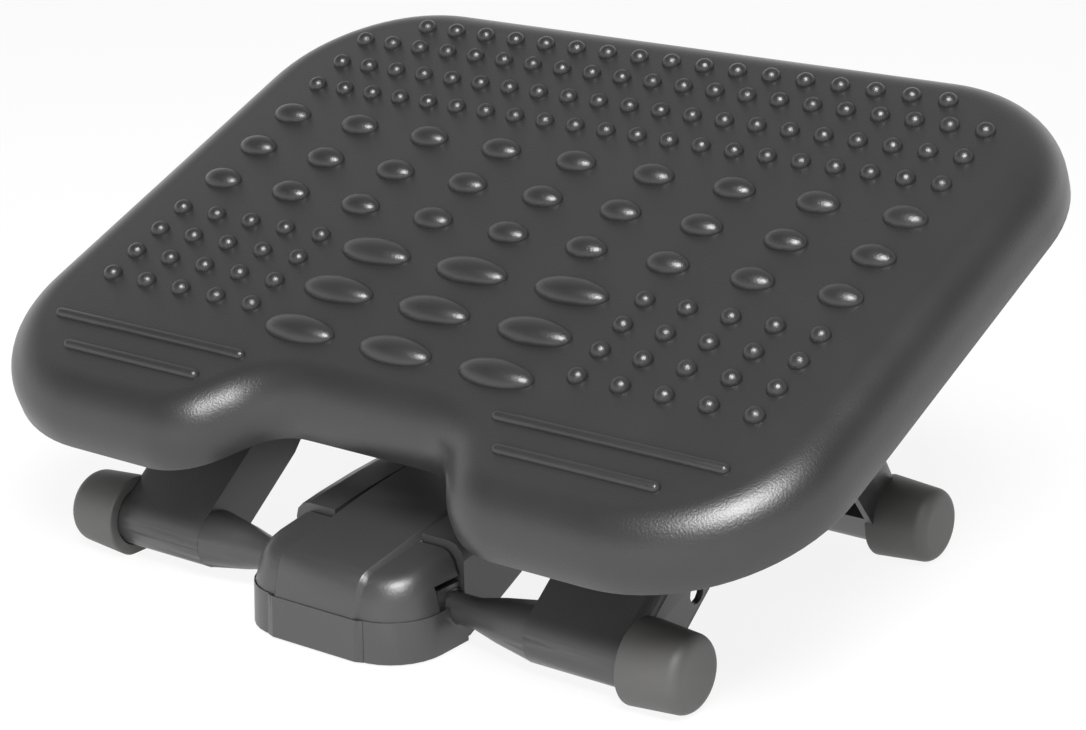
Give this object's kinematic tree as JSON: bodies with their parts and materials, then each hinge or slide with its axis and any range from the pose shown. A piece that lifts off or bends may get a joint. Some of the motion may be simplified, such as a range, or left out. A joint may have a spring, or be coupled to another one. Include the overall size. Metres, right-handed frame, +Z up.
{
  "type": "tilting under-desk footrest",
  "caption": "Under-desk footrest: a bumpy platform with rolled edges tilts on two pairs of legs over a centre beam, and the rear legs slide to change its height.",
  "frame": {"origin": "on the floor, under the middle of the object's bounding box", "axes": "+X to the right seen from the front, +Y to the rear, +Z up"},
  "size_m": [0.457, 0.3194, 0.215],
  "materials": {
    "deck_plastic": "satin, fine grain",
    "frame_plastic": "satin, fine grain",
    "cap_rubber": "matte",
    "bearing_plastic": "smooth, graphite filled",
    "steel": "zinc plated"
  },
  "bodies": {
    "frame": {"spine_beam": "frame_plastic", "beam_end_cap": "frame_plastic", "slide_base": "frame_plastic", "base_screw_left": "steel", "base_screw_right": "steel", "nose_tray": "frame_plastic", "tray_screw_left": "steel", "tray_screw_right": "steel", "front_bush_left": "bearing_plastic", "front_bush_right": "bearing_plastic", "pedal_pin": "steel", "pedal_spring": "steel"},
    "front_legs": {"front_leg_left": "frame_plastic", "front_leg_right": "frame_plastic", "front_axle": "steel", "front_cap_left": "cap_rubber", "front_cap_right": "cap_rubber", "tilt_shaft": "steel", "shaft_nut_left": "steel", "shaft_nut_right": "steel", "friction_washer_left": "bearing_plastic", "friction_washer_right": "bearing_plastic", "spacer_ring_left": "bearing_plastic", "spacer_ring_right": "bearing_plastic"},
    "platform": {"platform": "deck_plastic", "tilt_bracket_left": "frame_plastic", "tilt_bracket_right": "frame_plastic", "tilt_bush_left": "bearing_plastic", "tilt_bush_right": "bearing_plastic", "bracket_screw_front_left": "steel", "bracket_screw_front_right": "steel", "bracket_screw_rear_left": "steel", "bracket_screw_rear_right": "steel"},
    "carriage": {"height_slider": "bearing_plastic", "slide_strip": "steel", "strip_rivet_front": "steel", "strip_rivet_rear": "steel", "rear_bush_left": "bearing_plastic", "rear_bush_right": "bearing_plastic"},
    "rear_legs": {"rear_leg_left": "frame_plastic", "rear_leg_right": "frame_plastic", "rear_axle": "steel", "rear_cap_left": "cap_rubber", "rear_cap_right": "cap_rubber"},
    "pedal": {"foot_pedal": "frame_plastic", "brake_shoe": "cap_rubber", "shoe_screw": "steel"}
  },
  "joints": [
    {"name": "front_leg_swing", "type": "hinge", "parent": "frame", "child": "front_legs", "pos_m": [0, -0.1167, 0.0181], "axis": [1, 0, 0], "range_deg": [-7.58, 0]},
    {"name": "slider_travel", "type": "slide", "parent": "frame", "child": "carriage", "axis": [0, 1, 0], "range_m": [0, 0.03]},
    {"name": "rear_leg_swing", "type": "hinge", "parent": "carriage", "child": "rear_legs", "pos_m": [0, 0.0846, 0.0181], "axis": [1, 0, 0], "range_deg": [0, 11.71]},
    {"name": "platform_tilt", "type": "hinge", "parent": "front_legs", "child": "platform", "pos_m": [0, 0.0084, 0.1143], "axis": [1, 0, 0], "range_deg": [-22.46, 7.54]},
    {"name": "pedal_press", "type": "hinge", "parent": "frame", "child": "pedal", "pos_m": [0, -0.0316, 0.0426], "axis": [1, 0, 0], "range_deg": [0, 1.6], "stiffness_Nm_per_rad": 8, "springref_deg": -3.44, "deforming": ["pedal_spring"]}
  ],
  "couplings": [
    {"joint": "slider_travel", "follows": "front_leg_swing", "m_per_rad": -0.22667},
    {"joint": "rear_leg_swing", "follows": "front_leg_swing", "ratio": -1.5439}
  ]
}
